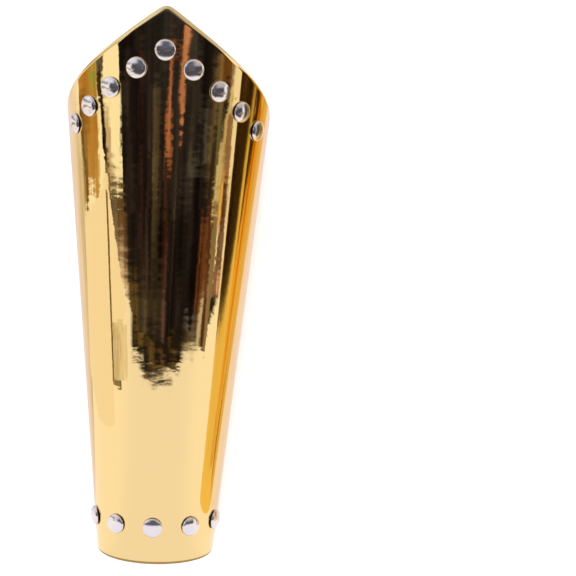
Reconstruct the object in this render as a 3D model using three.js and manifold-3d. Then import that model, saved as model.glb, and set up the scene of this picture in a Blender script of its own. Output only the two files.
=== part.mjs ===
// A forearm guard of polished gold-coloured sheet metal: one tapered plate, open along the back, with a peaked
// elbow end, edges turned in all round, and two rows of domed rivets. It lies the way it settles when it is put
// down: on its two long back edges, front up, wrist end towards -Y. Millimetres, +Z up. The origin is on the
// surface that it lies on, under the middle of its outline.

import * as THREE from 'three';
import { mergeVertices } from 'three/addons/utils/BufferGeometryUtils.js';
import Module from 'manifold-3d';

const wasm = await Module();
wasm.setup();

const degrees = Math.PI / 180;

// Plate, measured over the outside of the metal
const frontLength = 258.8; // wrist edge to the tip of the peak, along the arm's axis
const wristRadius = 27.7; // at the wrist edge
const elbowRadius = 47.6; // at elbowStation
const elbowStation = 211; // how far from the wrist edge elbowRadius is measured
const wrapAngle = 130 * degrees; // from the middle of the front round to each back edge's bend
const sheetThickness = 1.2;

// Edges
const edgeBend = 2.4; // outside radius of the turned-in edge
const peakFall = 0.72; // how far the peaked edge falls for each millimetre across the flat sheet
const peakTipRadius = 4.2; // rounding of the tip of the peak
const wristCornerRadius = 6;
const elbowCornerRadius = 9;
const restFlatDepth = 0.25; // metal dressed off the back edges so that they lie flat

// Rivets
const headDiameter = 9.5;
const headSide = 0.15; // upright part of the head's side
const headRimRadius = 1.3; // rounding between the side and the crown
const headSlope = THREE.MathUtils.degToRad(24); // how steep the crown is where the rounding takes over
const shankDiameter = 3;
const tailDiameter = 6;
const tailHeight = 0.9;
const tailChamfer = 0.3;
const seatGap = 0.3; // gap that a rivet keeps to the sheet under its head, round its shank and over its tail

// Rows of rivets on the flat sheet. eachSide is how many stand on each side of the middle one. The elbow row is
// spaced straight across the sheet, and falls away from its middle in two straight arms with a rounded tip. The
// wrist row follows the wrist edge, and its pitch is measured along the row.
const elbowRow = { eachSide: 4, spacing: 12.7, belowPeak: 19.2, fall: 0.757, tipRounding: 1.7 };
const wristRow = { eachSide: 2, pitch: 18.6, aboveEdge: 18.8 };

// How finely curves are cut into flats
const wrapStep = 5 * degrees;
const peakSteps = 5;
const cornerSteps = 5;
const bendSteps = 4;
const innerBendSteps = 2;
const crownSteps = 3;
const rimSteps = 2;
const rivetSides = 14;

const cutMargin = 5; // how far a cutting tool reaches past the metal

// The plate is part of a cone, which rolls out flat: a place on it is an angle round the arm and a slant
// distance from the cone's apex
const taper = Math.atan2(elbowRadius - wristRadius, elbowStation);
const slantOf = (station) => (wristRadius + station * Math.tan(taper)) / Math.sin(taper);
const radiusOf = (slant) => slant * Math.sin(taper);
const wristSlant = slantOf(0);
const flatSheet = (angle, slant) => {
  const flatAngle = angle * Math.sin(taper);
  return new THREE.Vector2(slant * Math.sin(flatAngle), slant * Math.cos(flatAngle));
};

// The outward direction, and the point at a depth under the outside, for a place on the rolled plate. In the
// arm's own frame the axis runs from the wrist along +Y and the front faces +Z.
const outwardAt = (angle) =>
  new THREE.Vector3(Math.cos(taper) * Math.sin(angle), -Math.sin(taper), Math.cos(taper) * Math.cos(angle));
function rolled(flatPoint, depth) {
  const slant = flatPoint.length();
  const angle = Math.atan2(flatPoint.x, flatPoint.y) / Math.sin(taper);
  const radius = radiusOf(slant);
  const along = (slant - wristSlant) * Math.cos(taper);
  const outside = new THREE.Vector3(radius * Math.sin(angle), along, radius * Math.cos(angle));
  return outside.addScaledVector(outwardAt(angle), -depth);
}

// The bend line of the peaked edge on the flat sheet is two straight cuts that meet in a rounded tip
const bendTipRounding = peakFall * (peakTipRadius - edgeBend);
const bendTip = slantOf(frontLength) - edgeBend;
const bendCutsMeet = bendTip + peakFall * bendTipRounding;

// Slant distance at which that bend line crosses a generator of the cone
function peakedSlant(angle) {
  const across = Math.sin(angle * Math.sin(taper));
  const up = Math.cos(angle * Math.sin(taper));
  const a = up ** 2 - (peakFall * across) ** 2;
  const b = bendCutsMeet * up;
  const c = bendCutsMeet ** 2 - (peakFall * bendTipRounding) ** 2;
  return (b - Math.sqrt(b ** 2 - a * c)) / a;
}

// How far a rounded corner of the bend line takes the edge back at an angle
function cornerDrop(angle, cornerRadius, radius) {
  const bendCorner = cornerRadius - edgeBend;
  const into = (Math.abs(angle) - wrapAngle) * radius / bendCorner + 1;
  const share = THREE.MathUtils.clamp(into, 0, 1);
  return bendCorner * (1 - Math.sqrt(1 - share ** 2));
}

const elbowCornerReach = radiusOf(peakedSlant(wrapAngle));
const wristBendSlant = (angle) => wristSlant + edgeBend + cornerDrop(angle, wristCornerRadius, wristRadius);
const elbowBendSlant = (angle) =>
  peakedSlant(angle) - cornerDrop(angle, elbowCornerRadius, elbowCornerReach);

// Angles of the generators that the plate is built on, closer together at the peak and at the corners
function generatorAngles() {
  const peakAngle = 2 * peakTipRadius / radiusOf(bendTip);
  const cornerAngle = Math.max(
    (wristCornerRadius - edgeBend) / wristRadius,
    (elbowCornerRadius - edgeBend) / elbowCornerReach,
  );
  const plainAngle = wrapAngle - cornerAngle - peakAngle;
  const plainSteps = Math.ceil(plainAngle / wrapStep);
  const half = [];
  for (let i = 0; i < peakSteps; i++) half.push(peakAngle * i / peakSteps);
  for (let i = 0; i < plainSteps; i++) half.push(peakAngle + plainAngle * i / plainSteps);
  for (let i = 0; i <= cornerSteps; i++) {
    half.push(wrapAngle - cornerAngle * (1 - Math.sin(Math.PI / 2 * i / cornerSteps)));
  }
  return [...half.slice(1).reverse().map((angle) => -angle), ...half];
}

// Cross-section of the turned-in edge, from the outside round to the inside: how far beyond the bend line,
// and how deep
function edgeSection() {
  const points = [];
  const arc = (radius, turn) => points.push({
    beyond: radius * Math.sin(turn),
    depth: edgeBend - radius * Math.cos(turn),
  });
  for (let i = 0; i <= bendSteps; i++) arc(edgeBend, Math.PI / 2 * i / bendSteps);
  for (let i = innerBendSteps; i >= 0; i--) arc(edgeBend - sheetThickness, Math.PI / 2 * i / innerBendSteps);
  return points;
}

// The rolled sheet with its turned edges: rings of points that follow the bend line, closed by the two faces
function sheetGeometry() {
  const angles = generatorAngles();
  const count = angles.length;
  const loop = [
    ...angles.map((angle) => flatSheet(angle, wristBendSlant(angle))),
    ...[...angles].reverse().map((angle) => flatSheet(angle, elbowBendSlant(angle))),
  ];
  const outward = loop.map((point, i) => {
    const before = loop[(i + loop.length - 1) % loop.length];
    const after = loop[(i + 1) % loop.length];
    const into = point.clone().sub(before).normalize();
    const out = after.clone().sub(point).normalize();
    const along = into.clone().add(out).normalize();
    const stretch = 1 / Math.sqrt((1 + into.dot(out)) / 2); // keeps the edge's width at a bend of the line
    return new THREE.Vector2(along.y, -along.x).multiplyScalar(stretch);
  });
  const positions = [];
  const indices = [];
  const section = edgeSection();
  for (const { beyond, depth } of section) {
    loop.forEach((point, i) => {
      positions.push(...rolled(point.clone().addScaledVector(outward[i], beyond), depth).toArray());
    });
  }
  const quad = (a, b, c, d) => indices.push(a, b, c, a, c, d);
  for (let ring = 0; ring < section.length - 1; ring++) {
    const here = ring * loop.length;
    const next = here + loop.length;
    for (let i = 0; i < loop.length; i++) {
      const j = (i + 1) % loop.length;
      quad(here + i, next + i, next + j, here + j);
    }
  }
  const inside = (section.length - 1) * loop.length;
  for (let i = 0; i < count - 1; i++) {
    const above = loop.length - 1 - i;
    quad(i, i + 1, above - 1, above);
    quad(inside + above, inside + above - 1, inside + i + 1, inside + i);
  }
  const geometry = new THREE.BufferGeometry();
  geometry.setAttribute('position', new THREE.Float32BufferAttribute(positions, 3));
  geometry.setIndex(indices);
  return geometry;
}

// Where each rivet goes: a place on the flat sheet, the same place on the plate, and the plate's radius there
function rivetSeats() {
  const seats = [];
  const seat = (name, flatPoint) => {
    const angle = Math.atan2(flatPoint.x, flatPoint.y) / Math.sin(taper);
    seats.push({
      name,
      place: rolled(flatPoint, 0),
      outward: outwardAt(angle),
      radius: radiusOf(flatPoint.length()),
    });
  };
  const elbowRowTop = slantOf(frontLength) - elbowRow.belowPeak;
  for (let i = -elbowRow.eachSide; i <= elbowRow.eachSide; i++) {
    const across = i * elbowRow.spacing;
    const drop = elbowRow.fall * (Math.hypot(across, elbowRow.tipRounding) - elbowRow.tipRounding);
    seat(`rivet_elbow_${i + elbowRow.eachSide + 1}`, new THREE.Vector2(across, elbowRowTop - drop));
  }
  const wristRowSlant = wristSlant + wristRow.aboveEdge;
  for (let i = -wristRow.eachSide; i <= wristRow.eachSide; i++) {
    const angle = i * wristRow.pitch / radiusOf(wristRowSlant);
    seat(`rivet_wrist_${i + wristRow.eachSide + 1}`, flatSheet(angle, wristRowSlant));
  }
  return seats;
}

// A rivet about +Y, with the plate's outside at y = 0: domed crown, rounded rim, shank, and the set tail inside
function rivetGeometry(plateRadius) {
  const profile = [];
  const point = (radius, height) => profile.push(new THREE.Vector2(radius, height));
  const insideRadius = plateRadius - sheetThickness;
  const tailReach = tailDiameter / 2;
  const tailRise = insideRadius - Math.sqrt(insideRadius ** 2 - tailReach ** 2);
  const tailTop = -sheetThickness - seatGap - tailRise;
  point(0, tailTop - tailHeight);
  point(tailReach - tailChamfer, tailTop - tailHeight);
  point(tailReach, tailTop - tailHeight + tailChamfer);
  point(tailReach, tailTop);
  point(shankDiameter / 2, tailTop);
  point(shankDiameter / 2, seatGap);
  const rimReach = headDiameter / 2;
  point(rimReach, seatGap);
  const rimCentre = new THREE.Vector2(rimReach - headRimRadius, seatGap + headSide);
  const crownRadius = headRimRadius + rimCentre.x / Math.sin(headSlope);
  const crownCentre = rimCentre.y - (crownRadius - headRimRadius) * Math.cos(headSlope);
  for (let i = 0; i < rimSteps; i++) {
    const turn = (Math.PI / 2 - headSlope) * i / rimSteps;
    point(rimCentre.x + headRimRadius * Math.cos(turn), rimCentre.y + headRimRadius * Math.sin(turn));
  }
  for (let i = crownSteps; i >= 0; i--) {
    const tilt = headSlope * i / crownSteps;
    point(crownRadius * Math.sin(tilt), crownCentre + crownRadius * Math.cos(tilt));
  }
  return new THREE.LatheGeometry(profile, rivetSides);
}

// Joining and cutting
function toSolid(geometry) {
  const bare = geometry.clone();
  bare.deleteAttribute('normal');
  bare.deleteAttribute('uv');
  const merged = mergeVertices(bare, 1e-4);
  return new wasm.Manifold(new wasm.Mesh({
    numProp: 3,
    vertProperties: new Float32Array(merged.attributes.position.array),
    triVerts: new Uint32Array(merged.index.array),
  }));
}
function toGeometry(solid) {
  const { vertProperties, triVerts } = solid.getMesh();
  const geometry = new THREE.BufferGeometry();
  geometry.setAttribute('position', new THREE.BufferAttribute(vertProperties, 3));
  geometry.setIndex(new THREE.BufferAttribute(triVerts, 1));
  return geometry;
}
const alongOutward = (outward) =>
  new THREE.Quaternion().setFromUnitVectors(new THREE.Vector3(0, 1, 0), outward);

// Turns the arm's frame so that the bend lines of both back edges lie level
const restTurn = new THREE.Matrix4().makeRotationX(Math.atan(-Math.tan(taper) * Math.cos(wrapAngle)));

// The plate: the rolled sheet, less a hole for each rivet and the metal dressed off where it rests
function plateGeometry(seats) {
  const holeRadius = shankDiameter / 2 + seatGap;
  let plate = toSolid(sheetGeometry().applyMatrix4(restTurn));
  for (const { place, outward } of seats) {
    const hole = new THREE.CylinderGeometry(holeRadius, holeRadius, 2 * cutMargin, rivetSides);
    hole.applyQuaternion(alongOutward(outward));
    hole.translate(...place.toArray());
    plate = plate.subtract(toSolid(hole.applyMatrix4(restTurn)));
  }
  const bounds = plate.boundingBox();
  const size = new THREE.Vector3().fromArray(bounds.max).sub(new THREE.Vector3().fromArray(bounds.min));
  const floor = new THREE.BoxGeometry(size.x + 2 * cutMargin, size.y + 2 * cutMargin, cutMargin);
  floor.translate(0, (bounds.min[1] + bounds.max[1]) / 2, bounds.min[2] + restFlatDepth - cutMargin / 2);
  return toGeometry(plate.subtract(toSolid(floor)));
}

const gold = new THREE.MeshStandardMaterial({ color: 0xf6d37c, metalness: 1, roughness: 0.06 });
const nickel = new THREE.MeshStandardMaterial({ color: 0xd9d6dc, metalness: 1, roughness: 0.12 });

const seats = rivetSeats();
const bracer = new THREE.Group();

const plate = new THREE.Mesh(plateGeometry(seats), gold);
plate.name = 'plate';
bracer.add(plate);

const rivets = new THREE.Group();
rivets.applyMatrix4(restTurn);
for (const { name, place, outward, radius } of seats) {
  const rivet = new THREE.Mesh(rivetGeometry(radius), nickel);
  rivet.name = name;
  rivet.position.copy(place);
  rivet.quaternion.copy(alongOutward(outward));
  rivets.add(rivet);
}
bracer.add(rivets);

// Origin under the middle of the outline, on the surface that the back edges lie on
const outline = new THREE.Box3().setFromObject(bracer, true);
const middle = outline.getCenter(new THREE.Vector3());
bracer.position.set(-middle.x, -middle.y, -outline.min.z);

export default bracer;
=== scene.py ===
import math

import bmesh
import bpy
from mathutils import Matrix, Vector


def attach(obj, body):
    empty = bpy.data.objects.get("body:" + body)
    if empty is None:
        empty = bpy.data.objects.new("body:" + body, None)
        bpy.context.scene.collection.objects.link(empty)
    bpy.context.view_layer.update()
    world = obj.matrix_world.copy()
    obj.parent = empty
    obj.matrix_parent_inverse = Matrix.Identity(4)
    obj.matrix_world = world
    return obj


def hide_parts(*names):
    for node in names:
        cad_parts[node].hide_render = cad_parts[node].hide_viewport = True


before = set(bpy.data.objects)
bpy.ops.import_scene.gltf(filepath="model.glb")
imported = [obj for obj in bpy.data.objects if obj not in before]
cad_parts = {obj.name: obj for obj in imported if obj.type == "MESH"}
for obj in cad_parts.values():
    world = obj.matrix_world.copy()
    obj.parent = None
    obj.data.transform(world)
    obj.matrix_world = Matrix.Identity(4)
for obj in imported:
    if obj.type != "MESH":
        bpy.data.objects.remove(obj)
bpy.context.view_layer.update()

print("frame loaded")

mm = 0.001


def linear(hexColour):
    # sRGB hex to the linear values that a shader takes
    channels = [int(hexColour[i:i + 2], 16) / 255 for i in (1, 3, 5)]
    return [c / 12.92 if c <= 0.04045 else ((c + 0.055) / 1.055) ** 2.4 for c in channels] + [1.0]


def addNode(tree, kind, settings=None, values=None, links=None):
    node = tree.nodes.new(kind)
    for key, value in (settings or {}).items():
        setattr(node, key, value)
    for key, value in (values or {}).items():
        node.inputs[key].default_value = value
    for key, source in (links or {}).items():
        tree.links.new(source, node.inputs[key])
    return node


def maths(tree, operation, *values):
    # each value is a number or a socket
    node = addNode(tree, "ShaderNodeMath", settings={"operation": operation})
    for i, value in enumerate(values):
        if isinstance(value, bpy.types.NodeSocket):
            tree.links.new(value, node.inputs[i])
        else:
            node.inputs[i].default_value = value
    return node.outputs["Value"]


def ramp(tree, value, start, end, low=0, high=1, smooth=False):
    settings = {"interpolation_type": "SMOOTHSTEP" if smooth else "LINEAR"}
    sizes = {"From Min": start, "From Max": end, "To Min": low, "To Max": high}
    node = addNode(tree, "ShaderNodeMapRange", settings=settings, values=sizes, links={"Value": value})
    return node.outputs["Result"]


def noise(tree, vector, scale, detail):
    return addNode(tree, "ShaderNodeTexNoise", values={"Scale": scale, "Detail": detail},
                   links={"Vector": vector})


def stretchedNoise(tree, vector, scale, detail, start=(0, 0, 0)):
    # noise with its own scale along each axis
    stretch = addNode(tree, "ShaderNodeMapping", values={"Scale": scale, "Location": start},
                      links={"Vector": vector})
    return noise(tree, stretch.outputs["Vector"], 1, detail)


def colourMix(tree, share, first, second):
    # first turns into second as share goes from 0 to 1; each is a hex colour or a socket
    mix = addNode(tree, "ShaderNodeMix", settings={"data_type": "RGBA"}, links={0: share})
    for i, colour in ((6, first), (7, second)):
        if isinstance(colour, str):
            mix.inputs[i].default_value = linear(colour)
        else:
            tree.links.new(colour, mix.inputs[i])
    return mix.outputs[2]


def bump(tree, height, distance, normal=None, invert=False):
    node = addNode(tree, "ShaderNodeBump", settings={"invert": invert},
                   values={"Strength": 1, "Distance": distance}, links={"Height": height})
    if normal:
        tree.links.new(normal, node.inputs["Normal"])
    return node.outputs["Normal"]


def newPiece(bm, name, material):
    mesh = bpy.data.meshes.new(name)
    bm.to_mesh(mesh)
    bm.free()
    mesh.materials.append(material)
    piece = bpy.data.objects.new(name, mesh)
    bpy.context.scene.collection.objects.link(piece)
    return piece


# The sheet is cut flat, its edges are turned, and then it is rolled into part of a cone. On the flat
# sheet x runs across, y away from the cone's apex, and z is minus the depth under the outside.
sheet = {
    "frontLength": 258.8 * mm,
    "wristRadius": 27.7 * mm,
    "elbowRadius": 47.6 * mm,
    "elbowStation": 211 * mm,  # how far from the wrist edge elbowRadius is
    "wrap": math.radians(130),  # from the middle of the front to each back edge
    "thickness": 1.2 * mm,
    "edgeBend": 2.4 * mm,
    "peakFall": 0.72,
    "peakTipRadius": 4.2 * mm,
    "wristCorner": 6 * mm,
    "elbowCorner": 9 * mm,
    "restFlat": 0.25 * mm,
    "columnWidth": 1.2 * mm,
    "tipWithin": 0.16,  # radians to each side of the tip, where the columns are closer together
    "tipColumns": 0.35,  # how wide they are there, as a share of columnWidth
    "cornerColumns": 12,
    "rows": 96,
    "besideBend": 0.12 * mm,  # the first row in from the bends keeps the shading flat up to them
    "bendSteps": 8,
}

taper = math.atan2(sheet["elbowRadius"] - sheet["wristRadius"], sheet["elbowStation"])
wristSlant = sheet["wristRadius"] / math.sin(taper)
restTurn = Matrix.Rotation(math.atan(-math.tan(taper) * math.cos(sheet["wrap"])), 4, "X")


def slantAt(station):
    return (sheet["wristRadius"] + station * math.tan(taper)) / math.sin(taper)


def flatPoint(angle, slant):
    turn = angle * math.sin(taper)
    return Vector((slant * math.sin(turn), slant * math.cos(turn), 0))


def outwardAt(angle):
    return Vector((math.cos(taper) * math.sin(angle), -math.sin(taper), math.cos(taper) * math.cos(angle)))


def roll(flat):
    # bends a point of the flat sheet round the arm, and turns it to how the sheet lies
    slant = math.hypot(flat.x, flat.y)
    angle = math.atan2(flat.x, flat.y) / math.sin(taper)
    radius = slant * math.sin(taper)
    along = (slant - wristSlant) * math.cos(taper)
    outside = Vector((radius * math.sin(angle), along, radius * math.cos(angle)))
    return restTurn @ (outside + outwardAt(angle) * flat.z)


tipRounding = sheet["peakFall"] * (sheet["peakTipRadius"] - sheet["edgeBend"])
bendCutsMeet = slantAt(sheet["frontLength"]) - sheet["edgeBend"] + sheet["peakFall"] * tipRounding


def peakedSlant(angle):
    # where the peaked edge's bend line crosses a generator: two straight cuts with a rounded tip
    across = math.sin(angle * math.sin(taper))
    up = math.cos(angle * math.sin(taper))
    a = up ** 2 - (sheet["peakFall"] * across) ** 2
    b = bendCutsMeet * up
    c = bendCutsMeet ** 2 - (sheet["peakFall"] * tipRounding) ** 2
    return (b - math.sqrt(b ** 2 - a * c)) / a


def cornerDrop(angle, cornerRadius, radius):
    bendCorner = cornerRadius - sheet["edgeBend"]
    into = (abs(angle) - sheet["wrap"]) * radius / bendCorner + 1
    into = min(max(into, 0), 1)
    return bendCorner * (1 - math.sqrt(1 - into ** 2))


elbowCornerReach = peakedSlant(sheet["wrap"]) * math.sin(taper)


def columnAngles():
    # generators of the cone, closer together at the tip of the peak and at the back corners
    step = sheet["columnWidth"] / elbowCornerReach
    corner = max(
        (sheet["wristCorner"] - sheet["edgeBend"]) / sheet["wristRadius"],
        (sheet["elbowCorner"] - sheet["edgeBend"]) / elbowCornerReach,
    )
    half = []
    angle = 0.0
    while angle < sheet["wrap"] - corner - step / 2:
        half.append(angle)
        angle += step * (sheet["tipColumns"] if angle < sheet["tipWithin"] else 1)
    steps = sheet["cornerColumns"]
    for i in range(steps + 1):
        half.append(sheet["wrap"] - corner * (1 - math.sin(math.pi / 2 * i / steps)))
    return [-angle for angle in reversed(half[1:])] + half


def outwardOnFlat(vert):
    # off the sheet, square to its outline, reaching further at a bend of the outline
    outs = []
    for edge in vert.link_edges:
        if edge.is_boundary:
            along = (edge.verts[1].co - edge.verts[0].co).normalized()
            out = along.cross(Vector((0, 0, 1)))
            middle = (edge.verts[0].co + edge.verts[1].co) / 2
            if out.dot(middle - edge.link_faces[0].calc_center_median()) < 0:
                out.negate()
            outs.append(out)
    mean = (outs[0] + outs[1]).normalized()
    return mean / max(mean.dot(outs[0]), 0.5)


def cutSheet():
    angles = columnAngles()
    columns = len(angles) - 1
    rows = sheet["rows"]
    bm = bmesh.new()
    bmesh.ops.create_grid(bm, x_segments=columns, y_segments=rows, size=0.5)
    for vert in bm.verts:
        angle = angles[round((vert.co.x + 0.5) * columns)]
        row = round((vert.co.y + 0.5) * rows)
        low = wristSlant + sheet["edgeBend"]
        low += cornerDrop(angle, sheet["wristCorner"], sheet["wristRadius"])
        high = peakedSlant(angle) - cornerDrop(angle, sheet["elbowCorner"], elbowCornerReach)
        slant = low + (high - low) * (row - 1) / (rows - 2)
        if row in (1, rows - 1):
            slant += sheet["besideBend"] * (1 if row == 1 else -1)
        vert.co = flatPoint(angle, min(max(slant, low), high))
    return bm


def turnEdges(bm):
    # the outline is extruded round a quarter turn, ring by ring
    bend = sheet["edgeBend"]
    ring = [edge for edge in bm.edges if edge.is_boundary]
    start = {vert: (vert.co.copy(), outwardOnFlat(vert)) for edge in ring for vert in edge.verts}
    for step in range(1, sheet["bendSteps"] + 1):
        turn = math.pi / 2 * step / sheet["bendSteps"]
        made = bmesh.ops.extrude_edge_only(bm, edges=ring)["geom"]
        newVerts = [item for item in made if isinstance(item, bmesh.types.BMVert)]
        ring = [item for item in made if isinstance(item, bmesh.types.BMEdge) and item.is_boundary]
        origin = {}
        for vert in newVerts:
            others = [edge.other_vert(vert) for edge in vert.link_edges]
            before = next(other for other in others if other in start)
            origin[vert] = start[before]
            place, outward = start[before]
            drop = Vector((0, 0, bend * (1 - math.cos(turn))))
            vert.co = place + outward * bend * math.sin(turn) - drop
        start = origin


def makePlate(material):
    bm = cutSheet()
    turnEdges(bm)
    bmesh.ops.recalc_face_normals(bm, faces=bm.faces)
    if sum(face.normal.z for face in bm.faces) < 0:
        bmesh.ops.reverse_faces(bm, faces=bm.faces)
    bmesh.ops.solidify(bm, geom=bm.faces[:], thickness=sheet["thickness"])
    for vert in bm.verts:
        vert.co = roll(vert.co)
    low = min(vert.co.z for vert in bm.verts)
    ys = [vert.co.y for vert in bm.verts]
    shift = Vector((0, -(min(ys) + max(ys)) / 2, -low - sheet["restFlat"]))
    bmesh.ops.translate(bm, vec=shift, verts=bm.verts)
    for vert in bm.verts:
        vert.co.z = max(vert.co.z, 0)  # the back edges are dressed flat where they rest
    for face in bm.faces:
        face.smooth = True
    for edge in bm.edges:
        edge.smooth = edge.calc_face_angle(0) < math.radians(35)
    return newPiece(bm, "rolled_plate", material), shift


rivet = {
    "headDiameter": 9.5 * mm,
    "headSide": 0.15 * mm,
    "headChamfer": 0.1 * mm,  # under the rim
    "rimRadius": 1.3 * mm,
    "crownSlope": math.radians(24),  # where the crown meets the rim's rounding
    "shankDiameter": 3 * mm,
    "tailDiameter": 6 * mm,
    "tailHeight": 0.9 * mm,
    "tailChamfer": 0.3 * mm,
    "gap": 0.3 * mm,
    "sides": 56,
    "crownSteps": 12,
    "rimSteps": 6,
}
rivetRows = {
    "elbow": {"eachSide": 4, "spacing": 12.7 * mm, "belowPeak": 19.2 * mm, "fall": 0.757,
              "tipRounding": 1.7 * mm},
    "wrist": {"eachSide": 2, "pitch": 18.6 * mm, "aboveEdge": 18.8 * mm},
}


def rivetPlaces():
    places = {}
    row = rivetRows["elbow"]
    for i in range(-row["eachSide"], row["eachSide"] + 1):
        across = i * row["spacing"]
        fall = row["fall"] * (math.hypot(across, row["tipRounding"]) - row["tipRounding"])
        up = slantAt(sheet["frontLength"]) - row["belowPeak"] - fall
        places[f"rivet_elbow_{i + row['eachSide'] + 1}"] = Vector((across, up, 0))
    row = rivetRows["wrist"]
    slant = wristSlant + row["aboveEdge"]
    for i in range(-row["eachSide"], row["eachSide"] + 1):
        angle = i * row["pitch"] / (slant * math.sin(taper))
        places[f"rivet_wrist_{i + row['eachSide'] + 1}"] = flatPoint(angle, slant)
    return places


def makeRivet(node, flat, shift, material):
    # half a section, spun about Z with the sheet's outside at z = 0, then set in its place
    angle = math.atan2(flat.x, flat.y) / math.sin(taper)
    inside = flat.length * math.sin(taper) - sheet["thickness"]
    tail = rivet["tailDiameter"] / 2
    tailTop = -sheet["thickness"] - rivet["gap"] - (inside - math.sqrt(inside ** 2 - tail ** 2))
    slope = rivet["crownSlope"]
    rimCentre = rivet["headDiameter"] / 2 - rivet["rimRadius"]
    rimBase = rivet["gap"] + rivet["headSide"]
    crownRadius = rivet["rimRadius"] + rimCentre / math.sin(slope)
    crownCentre = rimBase - (crownRadius - rivet["rimRadius"]) * math.cos(slope)
    section = [
        (0, tailTop - rivet["tailHeight"]),
        (tail - rivet["tailChamfer"], tailTop - rivet["tailHeight"]),
        (tail, tailTop - rivet["tailHeight"] + rivet["tailChamfer"]),
        (tail, tailTop),
        (rivet["shankDiameter"] / 2, tailTop),
        (rivet["shankDiameter"] / 2, rivet["gap"]),
        (rivet["headDiameter"] / 2 - rivet["headChamfer"], rivet["gap"]),
        (rivet["headDiameter"] / 2, rivet["gap"] + rivet["headChamfer"]),
    ]
    for i in range(rivet["rimSteps"]):
        turn = (math.pi / 2 - slope) * i / rivet["rimSteps"]
        out = rimCentre + rivet["rimRadius"] * math.cos(turn)
        section.append((out, rimBase + rivet["rimRadius"] * math.sin(turn)))
    for i in range(rivet["crownSteps"], -1, -1):
        tilt = slope * i / rivet["crownSteps"]
        section.append((crownRadius * math.sin(tilt), crownCentre + crownRadius * math.cos(tilt)))
    bm = bmesh.new()
    verts = [bm.verts.new((radius, 0, height)) for radius, height in section]
    edges = [bm.edges.new(pair) for pair in zip(verts, verts[1:])]
    bmesh.ops.spin(bm, geom=verts + edges, cent=(0, 0, 0), axis=(0, 0, 1), angle=2 * math.pi,
                   steps=rivet["sides"], use_merge=True)
    bmesh.ops.remove_doubles(bm, verts=bm.verts, dist=0.001 * mm)
    bmesh.ops.recalc_face_normals(bm, faces=bm.faces)
    outward = restTurn.to_3x3() @ outwardAt(angle)
    place = Matrix.Translation(roll(flat) + shift) @ outward.to_track_quat("Z", "Y").to_matrix().to_4x4()
    bmesh.ops.transform(bm, matrix=place, verts=bm.verts)
    for face in bm.faces:
        face.smooth = True
    for edge in bm.edges:
        edge.smooth = edge.calc_face_angle(0) < math.radians(40)
    return newPiece(bm, node.replace("rivet", "domed_rivet"), material)


goldFinish = {
    "colour": "#FEE09D",
    # each ripple: noise scale per metre, how much tighter it is along the arm, detail, height
    "waves": [(30, 1.2, 0, 0.06 * mm), (90, 2.2, 1, 0.03 * mm), (420, 1.3, 1, 0.0045 * mm)],
    "smudges": 55,  # per metre
    "smudgeRange": (0.4, 0.7),
    "roughness": (0.025, 0.055),
    "scratchCells": (34, 70, 60),  # per metre across, along the arm, and up
    "scratchTurn": 0.5,
    "scratchWidth": 0.006,
    "scratchDepth": 0.0009 * mm,
    "scratchPatches": 26,  # per metre
    "scratchRange": (0.66, 0.72),
}


# Lacquered gold mirror on sheet metal: very sharp reflections, with a fine ripple that breaks their
# edges up
def goldMirror():
    material = bpy.data.materials.new("gold mirror plate")
    material.use_nodes = True
    tree = material.node_tree
    shader = tree.nodes["Principled BSDF"]
    shader.inputs["Metallic"].default_value = 1
    shader.inputs["Base Color"].default_value = linear(goldFinish["colour"])
    place = addNode(tree, "ShaderNodeTexCoord").outputs["Object"]
    smudges = noise(tree, place, goldFinish["smudges"], 3)
    dulled = ramp(tree, smudges.outputs["Fac"], *goldFinish["smudgeRange"], *goldFinish["roughness"])
    tree.links.new(dulled, shader.inputs["Roughness"])
    normal = None
    for scale, tighter, detail, height in goldFinish["waves"]:
        wave = stretchedNoise(tree, place, (scale, scale * tighter, scale), detail)
        normal = bump(tree, wave.outputs["Fac"], height, normal)
    # a few hair scratches: the borders of large cells, kept only where a broad noise is high
    turn = (0, 0, goldFinish["scratchTurn"])
    cells = addNode(tree, "ShaderNodeMapping", links={"Vector": place},
                    values={"Scale": goldFinish["scratchCells"], "Rotation": turn})
    borders = addNode(tree, "ShaderNodeTexVoronoi", settings={"feature": "DISTANCE_TO_EDGE"},
                      values={"Scale": 1}, links={"Vector": cells.outputs["Vector"]})
    line = ramp(tree, borders.outputs["Distance"], 0, goldFinish["scratchWidth"], 1, 0)
    patches = noise(tree, place, goldFinish["scratchPatches"], 0)
    few = ramp(tree, patches.outputs["Fac"], *goldFinish["scratchRange"])
    scratches = maths(tree, "MULTIPLY", line, few)
    normal = bump(tree, scratches, goldFinish["scratchDepth"], normal, invert=True)
    tree.links.new(normal, shader.inputs["Normal"])
    return material


nickelFinish = {
    "colour": "#F0E9E8",
    "metallic": 0.965,  # the little under 1 lifts its darks
    # noise scale per metre, detail, height
    "dents": (240, 1, 0.045 * mm),
    "grain": (2600, 2, 0.0012 * mm),
    "roughness": 0.15,
}


# Polished nickel plate on pressed steel caps: cold white mirror, a little softer than the gold,
# faintly dented
def nickelMirror():
    material = bpy.data.materials.new("polished nickel rivet")
    material.use_nodes = True
    tree = material.node_tree
    shader = tree.nodes["Principled BSDF"]
    shader.inputs["Metallic"].default_value = nickelFinish["metallic"]
    shader.inputs["Base Color"].default_value = linear(nickelFinish["colour"])
    shader.inputs["Roughness"].default_value = nickelFinish["roughness"]
    place = addNode(tree, "ShaderNodeTexCoord").outputs["Object"]
    normal = None
    for relief in ("dents", "grain"):
        scale, detail, height = nickelFinish[relief]
        normal = bump(tree, noise(tree, place, scale, detail).outputs["Fac"], height, normal)
    tree.links.new(normal, shader.inputs["Normal"])
    return material


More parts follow.
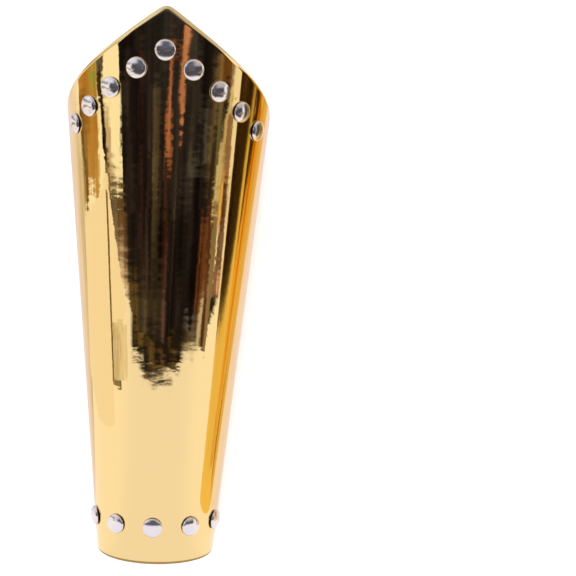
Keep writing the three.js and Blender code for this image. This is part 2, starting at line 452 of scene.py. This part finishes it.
gold = goldMirror()
nickel = nickelMirror()
plate, shift = makePlate(gold)
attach(plate, "root")
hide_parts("plate")
print("plate rolled", [round(c / mm, 2) for c in shift], len(plate.data.polygons))

for node, flat in rivetPlaces().items():
    head = makeRivet(node, flat, shift, nickel)
    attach(head, "root")
    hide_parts(node)
print("rivets set")

scene = bpy.context.scene
scene.view_settings.view_transform = "Standard"

# Camera: over the front, nearer the peaked end, 0.8 m away, long lens
camera = {
    "fromAxis": Vector((16.466, -800.0, 220.27)) * mm,  # across, to the viewer (negative), along the arm
    "pitch": 0.11177,
    "yaw": 0.05370,
    "roll": 0.04095,
    "turned": -0.03139,  # the guard is turned this much about its own axis
    "lens": 105.08,
}


def placeCamera():
    look = (Matrix.Rotation(camera["roll"], 3, "Y") @ Matrix.Rotation(camera["pitch"], 3, "X")
            @ Matrix.Rotation(camera["yaw"], 3, "Z"))
    unturn = Matrix.Rotation(-camera["turned"], 3, "Z")
    across, forward, up = (unturn @ Vector(row) for row in look)
    spot = unturn @ camera["fromAxis"]
    # from the standing frame, with the arm's axis up, to the lying one
    lay = restTurn.to_3x3() @ Matrix(((1, 0, 0), (0, 0, 1), (0, -1, 0)))
    pose = Matrix([lay @ across, lay @ up, lay @ -forward]).transposed().to_4x4()
    pose.translation = lay @ spot + shift
    data = bpy.data.cameras.new("camera")
    data.lens = camera["lens"]
    data.sensor_width = 36
    data.clip_end = 20
    eye = bpy.data.objects.new("camera", data)
    eye.matrix_world = pose
    scene.collection.objects.link(eye)
    scene.camera = eye
    print("camera", [round(c, 4) for c in pose.translation], [round(a, 4) for a in pose.to_euler()])


placeCamera()


def fromArm(across, along, front):
    # a point given by the guard's own axis, to where it is in the scene
    return restTurn @ Vector((across, along, front)) + shift


def mirroredOnly(piece):
    # shows in the metal alone
    piece.visible_camera = False
    piece.visible_diffuse = False
    piece.visible_shadow = False


# White floor and a soft light over it, kept out of the metal so that the studio alone shows there
floor = {"half": 1.4, "colour": "#F7F7F7", "roughness": 0.7}
overheadFill = {"height": 1.6, "across": 2.6, "watts": 72}


def makeFloor():
    bm = bmesh.new()
    bmesh.ops.create_grid(bm, x_segments=1, y_segments=1, size=floor["half"])
    material = bpy.data.materials.new("white studio floor")
    material.use_nodes = True
    shader = material.node_tree.nodes["Principled BSDF"]
    shader.inputs["Base Color"].default_value = linear(floor["colour"])
    shader.inputs["Roughness"].default_value = floor["roughness"]
    ground = newPiece(bm, "floor", material)
    ground.visible_glossy = False


def makeFill():
    data = bpy.data.lights.new("overhead fill", "AREA")
    data.shape = "RECTANGLE"
    data.size = overheadFill["across"]
    data.size_y = overheadFill["across"]
    data.energy = overheadFill["watts"]
    lamp = bpy.data.objects.new("overhead fill", data)
    lamp.location = (0, 0, overheadFill["height"])
    lamp.visible_glossy = False
    scene.collection.objects.link(lamp)


makeFloor()
makeFill()

cardMottling = {"scale": 70, "detail": 3, "range": (0.38, 0.62)}


def lightCard(name, corners, colour, mottled=None):
    bm = bmesh.new()
    bm.faces.new([bm.verts.new(fromArm(*corner)) for corner in corners])
    material = bpy.data.materials.new(name)
    material.use_nodes = True
    tree = material.node_tree
    tree.nodes.remove(tree.nodes["Principled BSDF"])
    glow = addNode(tree, "ShaderNodeEmission", values={"Color": linear(colour)})
    tree.links.new(glow.outputs["Emission"], tree.nodes["Material Output"].inputs["Surface"])
    if mottled:
        place = addNode(tree, "ShaderNodeTexCoord").outputs["Object"]
        clouds = noise(tree, place, cardMottling["scale"], cardMottling["detail"])
        share = ramp(tree, clouds.outputs["Fac"], *cardMottling["range"])
        tree.links.new(colourMix(tree, share, colour, mottled), glow.inputs["Color"])
    mirroredOnly(newPiece(bm, name, material))
    return glow, tree


def onTable(outline, height):
    # (across, front) points in mm, at one height in mm over the wrist end
    return [(x * mm, height * mm, z * mm) for x, z in outline]


# A white table top square to the guard's axis, past its wrist end, with things along its front edge
tableOutline = [
    (-950, -520), (-950, 300), (-540, 314), (-409, 312), (-330, 325), (-231, 340), (-115, 345),
    (0, 350), (99, 350), (156, 345), (214, 320), (270, 250), (305, 198), (327, 142), (458, 173),
    (502, 115), (523, 64), (560, 0), (0, -40),
]
tableSideOutline = [
    (-950, -520), (-950, 300), (-540, 314), (-409, 312), (-330, 301), (-268, 100), (-205, 80),
    (-240, -60), (-330, -260),
]
table = {
    "front": "#F5F3FC",
    "sides": "#FFFCFF",
    "sidesFrom": math.radians(28),
    "sidesFull": math.radians(62),
    "sideCard": "#F9F1EC",
}
litter = {
    "dark": "#1E1917",
    "pale": "#7A6648",
    "from": 230 * mm,  # thin here, and thick further out
    "to": 330 * mm,
    "share": (-0.36, 0.25),  # added to the noise, at each of the two
    "edge": (0.49, 0.57),
    "leftEnd": math.radians(-40.5),
    "leftFade": 0.08,
    "nearerFrom": 195 * mm,  # it comes nearer from here to the right
    "nearer": 0.65,
    "cells": (2.1, 130, 1),  # per radian round the guard, and per metre out from it
    "marbling": (3.5, 45, 1),
    "marblingStart": (5, 0, 0),
    "paleRange": (0.47, 0.72),
}


def litteredTable():
    glow, tree = lightCard("table_card", onTable(tableOutline, -1), table["front"])
    place = addNode(tree, "ShaderNodeTexCoord").outputs["Object"]
    axes = addNode(tree, "ShaderNodeSeparateXYZ", links={"Vector": place})
    across = axes.outputs["X"]
    front = axes.outputs["Z"]
    bearing = maths(tree, "ARCTAN2", across, front)
    aside = maths(tree, "ABSOLUTE", bearing)
    paler = ramp(tree, aside, table["sidesFrom"], table["sidesFull"], smooth=True)
    top = colourMix(tree, paler, table["front"], table["sides"])
    flat = addNode(tree, "ShaderNodeCombineXYZ", links={"X": across, "Z": front})
    away = addNode(tree, "ShaderNodeVectorMath", settings={"operation": "LENGTH"},
                   links={0: flat.outputs["Vector"]})
    polar = addNode(tree, "ShaderNodeCombineXYZ", links={"X": bearing, "Y": away.outputs["Value"]})
    bits = stretchedNoise(tree, polar.outputs["Vector"], litter["cells"], 2)
    nearer = maths(tree, "MAXIMUM", maths(tree, "SUBTRACT", across, litter["nearerFrom"]), 0)
    out = maths(tree, "MULTIPLY_ADD", nearer, litter["nearer"], front)
    forward = ramp(tree, out, litter["from"], litter["to"], *litter["share"])
    heaps = ramp(tree, maths(tree, "ADD", bits.outputs["Fac"], forward), *litter["edge"])
    ended = ramp(tree, bearing, litter["leftEnd"], litter["leftEnd"] + litter["leftFade"])
    marbling = stretchedNoise(tree, polar.outputs["Vector"], litter["marbling"], 3, litter["marblingStart"])
    paleShare = ramp(tree, marbling.outputs["Fac"], *litter["paleRange"])
    things = colourMix(tree, paleShare, litter["dark"], litter["pale"])
    strewn = colourMix(tree, maths(tree, "MULTIPLY", heaps, ended), top, things)
    tree.links.new(strewn, glow.inputs["Color"])


litteredTable()
lightCard("table_side_card", onTable(tableSideOutline, -0.8), table["sideCard"])

# Small cards that stand on the table. Each: its two ends as (across, front) points, from and to how
# high over the wrist end, all in mm, and two colours
smallCards = [
    ("dark_edge_card", [(-275, 93), (-263, 104)], 0, 125, "#65583C", "#8C7C58"),
    ("low_box_card", [(-262, 105), (-236, 138)], 7, 42, "#C6BAA4", "#DDD3C4"),
    ("low_box_middle_card", [(-236, 138), (-212, 167)], 7, 44, "#D2C8B6", "#E9E0D6"),
    ("low_box_side_card", [(-212, 167), (-192, 191)], 7, 41, "#E3DACE", "#F0E8E2"),
    ("low_box_foot_card", [(-262, 105), (-224, 153)], 0, 7, "#6E6648", "#93896C"),
]
for name, ends, low, high, colour, mottled in smallCards:
    lightCard(name, onTable(ends, low) + onTable(reversed(ends), high), colour, mottled)

contactShade = {"radius": 29.6, "height": -0.4, "corners": 48, "colour": "#A99E89"}
contactRing = []
for i in range(contactShade["corners"]):
    turn = 2 * math.pi * i / contactShade["corners"]
    contactRing.append((contactShade["radius"] * math.sin(turn), contactShade["radius"] * math.cos(turn)))
lightCard("contact_shade_card", onTable(contactRing, contactShade["height"]), contactShade["colour"])

# A rolled gold reflector beside the guard, for the warm stripe down its right flank
goldReflector = {
    "across": 113 * mm,
    "front": -6.5 * mm,
    "length": 240 * mm,
    "wider": 2.5 * mm,
    "narrowerTop": 1.2 * mm,
    "colour": "#F6D473",
    "roughness": 0.16,
}


# The plate's gold mirror, deeper in colour and dull, so that it gives a broad warm glow
def deepGoldMirror():
    material = gold.copy()
    material.name = "deep gold reflector"
    shader = material.node_tree.nodes["Principled BSDF"]
    shader.inputs["Base Color"].default_value = linear(goldReflector["colour"])
    for link in shader.inputs["Roughness"].links:
        material.node_tree.links.remove(link)
    shader.inputs["Roughness"].default_value = goldReflector["roughness"]
    return material


def makeReflector():
    length = goldReflector["length"]
    wristRadius = sheet["wristRadius"] + goldReflector["wider"]
    topRadius = sheet["wristRadius"] + length * math.tan(taper) - goldReflector["narrowerTop"]
    bm = bmesh.new()
    bmesh.ops.create_cone(bm, cap_ends=False, segments=180, radius1=wristRadius, radius2=topRadius,
                          depth=length)
    for face in bm.faces:
        face.smooth = True
    toArm = Matrix.Rotation(-math.pi / 2, 4, "X")
    middle = fromArm(goldReflector["across"], length / 2, goldReflector["front"])
    bmesh.ops.transform(bm, matrix=Matrix.Translation(middle) @ restTurn @ toArm, verts=bm.verts)
    mirroredOnly(newPiece(bm, "gold_reflector", deepGoldMirror()))


makeReflector()
print("cards and reflector set")

# The studio round the guard, as it shows in the gold. Each strip: degrees round from the front (from,
# to), its lean in degrees per mm, how far up the guard it shows in mm (low, high), softness in degrees
# and mm, colour, and how much of it covers what is under it
studioStrips = [
    ("pale wall left", -230, -128, 0, -900, 9000, 12, 10, "#EEE2E6", 1),
    ("pale wall right", 122, 230, 0, -900, 9000, 14, 10, "#F5E7EC", 1),
    ("high wall behind left", -181, -95, 0, 640, 3000, 6, 80, "#CDD3EE", 1),
    ("high wall behind right", 95, 181, 0, 640, 3000, 6, 80, "#C1BECF", 1),
    ("ceiling left", -75, 5, 0, 540, 3000, 8, 60, "#E6E6F6", 1),
    ("ceiling right", 5, 85, 0, 540, 3000, 8, 60, "#BDB3AC", 1),
    ("light rim overhead", -75, 85, 0, 900, 3000, 8, 60, "#C3C4D2", 0.8),
    ("dark room", -53.3, 72, 0, -900, 540, 0.7, 75, "#1E1A1F", 1),
    ("dark room upper left", -56, -50, -0.106, 200, 300, 0.7, 12, "#1E1A1F", 1),
    ("dark room middle left", -56, -50, 0, 197, 214, 0.7, 6, "#1E1A1F", 1),
    ("room over the top", -27, 27, 0, 300, 980, 16, 130, "#3F4453", 1),
    ("dark under the left window", -73, -51, 0, -900, 181, 1, 3, "#4B3D28", 0.95),
    ("left furniture", -63, -48, 0, 128, 164, 4, 9, "#9A8278", 0.8),
    ("left furniture top", -62, -47, 0, 152, 176, 2.5, 4, "#57422C", 0.8),
    ("gap beside the dark", -64, -45, 0, 60, 138, 2, 12, "#EBE1DE", 1),
    ("left furniture foot", -44, -33, 0, 96, 140, 4, 10, "#6A5A40", 0.9),
    ("window frame", -80.4, -73.8, -0.2, 176, 236, 0.9, 3, "#282118", 1),
    ("window frame top", -85.2, -74.8, 0, 227, 256, 1, 3, "#2A2012", 0.9),
    ("window frame in shade", -73.5, -66, -0.1, 180, 216, 2.5, 4, "#A08058", 0.6),
    ("wooden door", -117, -85, 0.02, 181, 300, 1.4, 2.5, "#BB9050", 1),
    ("door in shade", -117, -105, 0, 184, 228, 4, 8, "#7B5F38", 0.8),
    ("door top in shade", -112, -98, 0, 212, 230, 4, 5, "#8A6A3C", 0.5),
    ("plant", -96, -87, 0, 226, 240, 3, 4, "#83A048", 0.8),
    ("door post", -115.5, -111.5, -0.16, 178, 228, 1.4, 4, "#5A4C2C", 0.9),
    ("picture rail", -135, -60, 0, 400, 540, 8, 40, "#5A4A35", 0.75),
    ("curtain edge", -121, -119, 0.01, 64, 222, 0.7, 14, "#A59576", 0.8),
    ("curtain", -133, -118, 0, 60, 222, 7, 22, "#C5B79C", 0.75),
    ("curtain foot", -140, -108, 0, -300, -12, 7, 16, "#A89C84", 1),
    ("copper pipe", -1, 6.5, 0, 191, 216, 1.6, 4, "#A86C56", 0.92),
    ("copper pipe foot", 0, 5, 0, 128, 186, 2, 22, "#4A2C24", 0.6),
    ("copper pipe top", 2.5, 5.5, 0.06, 214, 250, 1, 5, "#B0715C", 0.85),
    ("copper rail", 3, 22, 0, 243.5, 247, 2, 2, "#A0664F", 0.5),
    ("copper lamp", 14, 19.5, 0.03, 208, 240, 1.2, 4, "#BA7C65", 0.85),
    ("copper lamp top", 15.5, 23, 0.1, 237, 262, 1.4, 4, "#BA7C65", 0.9),
    ("olive post", -14.5, -6.5, 0, 146, 222, 1.6, 12, "#4E463C", 0.8),
    ("red cord left", -31, -28, 0, 120, 250, 1.4, 20, "#3E2D32", 0.7),
    ("shelf edge left", -21, -18.5, 0, 100, 245, 1.6, 20, "#3E2D32", 0.6),
    ("red cord", 3, 5, 0, 92, 150, 1, 12, "#55383F", 0.6),
    ("olive cord", 12, 13.5, 0, 92, 200, 1, 15, "#46403F", 0.6),
    ("grey shelf", 28, 47, 0, 184, 196, 7, 7, "#50535C", 0.6),
    ("grey shelf top", 40, 50, 0, 205, 216, 5, 8, "#50535C", 0.5),
    ("low bench", -34, 2, 0, 116, 136, 10, 12, "#4B4438", 0.5),
    ("olive curtain", 50, 60, 0, 178, 238, 3, 8, "#625545", 0.7),
    ("gap", 54.5, 60, 0, 160, 206, 1.6, 8, "#342B28", 0.9),
    ("olive curtain right", 60.5, 67, -0.02, 165, 230, 2, 8, "#706A58", 0.85),
    ("right window left frame", 66, 73, 0.16, 160, 226, 1.2, 6, "#D0C4A8", 0.95),
    ("right window top", 77, 91, 0, 218, 262, 2, 5, "#F1EBE1", 1),
    ("brown wall right", 58, 77, 0, 227, 250, 2, 3, "#7A5A38", 0.85),
    ("brown blind", 72, 82, 0, 158, 212, 1.6, 7, "#8A6244", 0.9),
    ("lamp", 70.5, 77, 0, 162, 180, 1.6, 4, "#F1C479", 1),
    ("right window right frame", 81.5, 92, 0.02, 160, 228, 1, 6, "#F1EBE1", 1),
    ("brown cabinet", 47, 60, 0, 116, 162, 2, 7, "#6E4630", 0.85),
    ("cabinet door gap", 51, 53, 0, 116, 160, 0.8, 7, "#2C1D15", 0.8),
    ("red post", 59.5, 65.5, 0, 60, 162, 1.2, 6, "#4E2E1C", 0.95),
    ("olive post right", 65.5, 72, 0, 60, 166, 1.4, 6, "#8F7E68", 0.9),
    ("dark gap", 74.5, 84, 0, 139, 178, 1.6, 5, "#54341F", 0.95),
    ("dark red post", 72, 79, 0, 60, 143, 1.4, 6, "#7A4A2C", 0.9),
    ("pink box", 79.5, 85.5, 0, 122, 140, 1.8, 4, "#C98F80", 0.9),
    ("pale post", 84.3, 88, 0, 120, 165, 0.9, 5, "#E2CDC1", 0.55),
    ("pale box", 54.5, 60, 0, 60, 120, 1.6, 4, "#C5BDB5", 0.9),
    ("grey box", 34, 54.5, 0, 60, 114, 3, 5, "#6C6A72", 0.85),
]
studioUnevenness = {
    "sway": 8,  # noise scale, for the slow shift of all edges
    "round": 7,  # degrees
    "up": 30,  # mm
    "wobble": (8, 105, 8),  # finer, and much tighter up and down than round
    "wobbleRound": 7,
    "wobbleUp": 9,
    "tones": [((9, 4, 9), 0.45), ((5, 24, 5), 1.1)],  # streaks, then patches: noise scale, strength
}
# a line at one height in the room shows higher up the flanks than in front
studioHeights = {"perMm": 0.0722, "flankRise": 3.4, "wristEdge": 27}  # degrees of elevation


def shifted(tree, value, noiseOutput, reach):
    # moves value by up to half of reach either way
    return maths(tree, "MULTIPLY_ADD", maths(tree, "SUBTRACT", noiseOutput, 0.5), reach, value)


def stripMask(tree, position, start, end, soft):
    away = maths(tree, "ABSOLUTE", maths(tree, "SUBTRACT", position, (start + end) / 2))
    half = (end - start) / 2
    return ramp(tree, away, half - soft, half + soft, 1, 0, smooth=True)


def studioDirections(tree, turnBack):
    # how far round each direction is, in degrees, and how far up the guard it shows, in mm
    axes = addNode(tree, "ShaderNodeSeparateXYZ", links={"Vector": turnBack})
    turn = maths(tree, "ARCTAN2", axes.outputs["X"], axes.outputs["Z"])
    slow = noise(tree, turnBack, studioUnevenness["sway"], 2)
    sway = addNode(tree, "ShaderNodeSeparateColor", links={"Color": slow.outputs["Color"]})
    quick = stretchedNoise(tree, turnBack, studioUnevenness["wobble"], 1)
    wobble = addNode(tree, "ShaderNodeSeparateColor", links={"Color": quick.outputs["Color"]})
    azimuth = maths(tree, "MULTIPLY", turn, math.degrees(1))
    azimuth = shifted(tree, azimuth, sway.outputs["Red"], studioUnevenness["round"])
    azimuth = shifted(tree, azimuth, wobble.outputs["Red"], studioUnevenness["wobbleRound"])
    elevation = maths(tree, "MULTIPLY", maths(tree, "ARCSINE", axes.outputs["Y"]), math.degrees(1))
    rise = studioHeights["flankRise"]
    level = maths(tree, "MULTIPLY_ADD", maths(tree, "COSINE", turn), rise, elevation)
    shown = maths(tree, "MULTIPLY_ADD", level, 1 / studioHeights["perMm"],
                  (studioHeights["wristEdge"] - rise) / studioHeights["perMm"])
    shown = shifted(tree, shown, sway.outputs["Green"], studioUnevenness["up"])
    shown = shifted(tree, shown, wobble.outputs["Green"], studioUnevenness["wobbleUp"])
    return azimuth, shown


def studioColour(tree, azimuth, shown):
    colour = "#FFFFFF"
    for name, start, end, lean, low, high, softRound, softUp, shade, share in studioStrips:
        place = azimuth
        if lean:
            above = maths(tree, "SUBTRACT", shown, (low + high) / 2)
            place = maths(tree, "MULTIPLY_ADD", above, -lean, azimuth)
        across = stripMask(tree, place, start, end, softRound)
        mask = maths(tree, "MULTIPLY", across, stripMask(tree, shown, low, high, softUp))
        colour = colourMix(tree, maths(tree, "MULTIPLY", mask, share), colour, shade)
        colour.node.label = name
    return colour


def makeStudio():
    world = bpy.data.worlds.new("studio")
    scene.world = world
    world.use_nodes = True
    tree = world.node_tree
    coords = addNode(tree, "ShaderNodeTexCoord")
    turned = addNode(tree, "ShaderNodeMapping", settings={"vector_type": "POINT"},
                     values={"Rotation": (-restTurn.to_euler().x, 0, 0)},
                     links={"Vector": coords.outputs["Generated"]})
    turnBack = turned.outputs["Vector"]
    azimuth, shown = studioDirections(tree, turnBack)
    colour = studioColour(tree, azimuth, shown)
    gamma = 1.0
    for scale, strength in studioUnevenness["tones"]:
        tones = stretchedNoise(tree, turnBack, scale, 2)
        offset = maths(tree, "SUBTRACT", tones.outputs["Fac"], 0.5)
        gamma = maths(tree, "MULTIPLY_ADD", offset, strength, gamma)
    toned = addNode(tree, "ShaderNodeGamma", links={"Color": colour})
    tree.links.new(gamma, toned.inputs["Gamma"])
    path = addNode(tree, "ShaderNodeLightPath")
    # the camera itself sees plain white behind the floor
    pale = colourMix(tree, path.outputs["Is Camera Ray"], toned.outputs["Color"], "#FFFFFF")
    tree.links.new(pale, tree.nodes["Background"].inputs["Color"])


makeStudio()

print("stage set")
